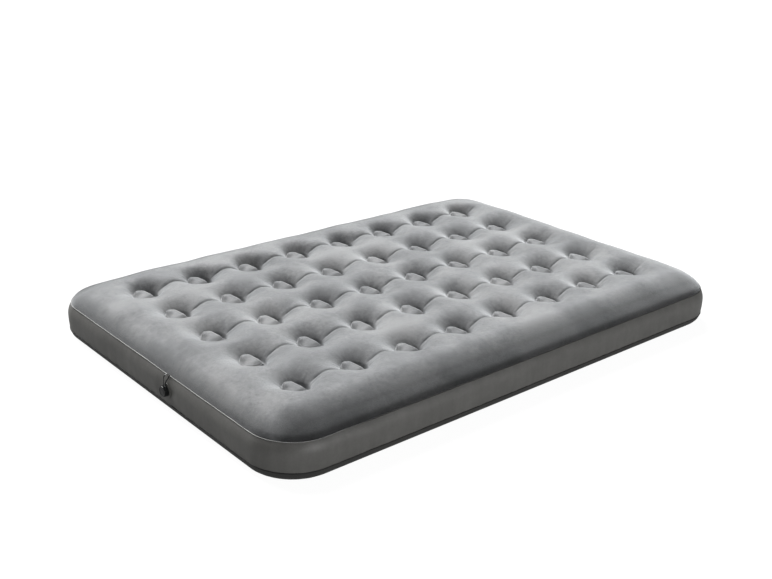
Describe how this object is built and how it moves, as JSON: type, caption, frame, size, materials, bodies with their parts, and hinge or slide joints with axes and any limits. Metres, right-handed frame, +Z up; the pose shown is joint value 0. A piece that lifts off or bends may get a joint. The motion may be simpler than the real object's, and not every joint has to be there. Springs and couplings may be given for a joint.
{
  "type": "air mattress",
  "caption": "Inflated air mattress with a flocked top, round dimples over vertical coil beams, smooth side walls and a tethered screw valve in one end.",
  "frame": {"origin": "middle of the footprint on the ground, under the middle of the walls, with the valve left out of the reckoning", "axes": "+X along the length, away from the valve end; +Y across the width; +Z up. The valve is on the -X end wall"},
  "size_m": [1.927, 1.348, 0.179],
  "materials": {
    "flocked_top": "short velvety flock on vinyl, light grey",
    "side_vinyl": "smooth semi-matte vinyl, dark grey",
    "under_vinyl": "smooth semi-matte vinyl, darker grey",
    "seam_vinyl": "welded bead, lighter grey and slightly glossy",
    "beam_vinyl": "smooth inner vinyl",
    "valve_plastic": "satin black moulded plastic",
    "seal_rubber": "soft dark seal"
  },
  "bodies": {
    "mattress": {"top_sheet": "flocked_top", "side_wall": "side_vinyl", "bottom_sheet": "under_vinyl", "top_seam": "seam_vinyl", "bottom_seam": "under_vinyl", "coil_1_1": "beam_vinyl", "coil_1_2": "beam_vinyl", "coil_1_3": "beam_vinyl", "coil_1_4": "beam_vinyl", "coil_1_5": "beam_vinyl", "coil_2_1": "beam_vinyl", "coil_2_2": "beam_vinyl", "coil_2_3": "beam_vinyl", "coil_2_4": "beam_vinyl", "coil_2_5": "beam_vinyl", "coil_3_1": "beam_vinyl", "coil_3_2": "beam_vinyl", "coil_3_3": "beam_vinyl", "coil_3_4": "beam_vinyl", "coil_3_5": "beam_vinyl", "coil_4_1": "beam_vinyl", "coil_4_2": "beam_vinyl", "coil_4_3": "beam_vinyl", "coil_4_4": "beam_vinyl", "coil_4_5": "beam_vinyl", "coil_5_1": "beam_vinyl", "coil_5_2": "beam_vinyl", "coil_5_3": "beam_vinyl", "coil_5_4": "beam_vinyl", "coil_5_5": "beam_vinyl", "coil_6_1": "beam_vinyl", "coil_6_2": "beam_vinyl", "coil_6_3": "beam_vinyl", "coil_6_4": "beam_vinyl", "coil_6_5": "beam_vinyl", "coil_7_1": "beam_vinyl", "coil_7_2": "beam_vinyl", "coil_7_3": "beam_vinyl", "coil_7_4": "beam_vinyl", "coil_7_5": "beam_vinyl", "coil_8_1": "beam_vinyl", "coil_8_2": "beam_vinyl", "coil_8_3": "beam_vinyl", "coil_8_4": "beam_vinyl", "coil_8_5": "beam_vinyl", "valve_base": "side_vinyl"},
    "body_collar": {"body_collar": "valve_plastic"},
    "valve_body": {"valve_body": "valve_plastic", "body_seal": "seal_rubber"},
    "check_flap": {"check_flap": "seal_rubber"},
    "cap_collar": {"cap_collar": "valve_plastic", "cap_strap": "valve_plastic"},
    "valve_cap": {"valve_cap": "valve_plastic", "cap_seal": "seal_rubber"}
  },
  "joints": [
    {"name": "body_travel", "type": "slide", "parent": "mattress", "child": "body_collar", "axis": [-1, 0, 0], "range_m": [0, 0.008]},
    {"name": "body_turn", "type": "hinge", "parent": "body_collar", "child": "valve_body", "pos_m": [-0.955, -0.1, 0.075], "axis": [-1, 0, 0], "range_deg": [0, 720]},
    {"name": "flap_swing", "type": "hinge", "parent": "valve_body", "child": "check_flap", "pos_m": [-0.9348, -0.1, 0.0828], "axis": [0, -1, 0], "range_deg": [0, 60]},
    {"name": "cap_travel", "type": "slide", "parent": "body_collar", "child": "cap_collar", "axis": [-1, 0, 0], "range_m": [0, 0.0075]},
    {"name": "cap_turn", "type": "hinge", "parent": "cap_collar", "child": "valve_cap", "pos_m": [-0.955, -0.1, 0.075], "axis": [-1, 0, 0], "range_deg": [0, 540]}
  ],
  "couplings": [
    {"joint": "body_travel", "follows": "body_turn", "m_per_rad": 0.0006366},
    {"joint": "cap_travel", "follows": "cap_turn", "m_per_rad": 0.00079577}
  ]
}
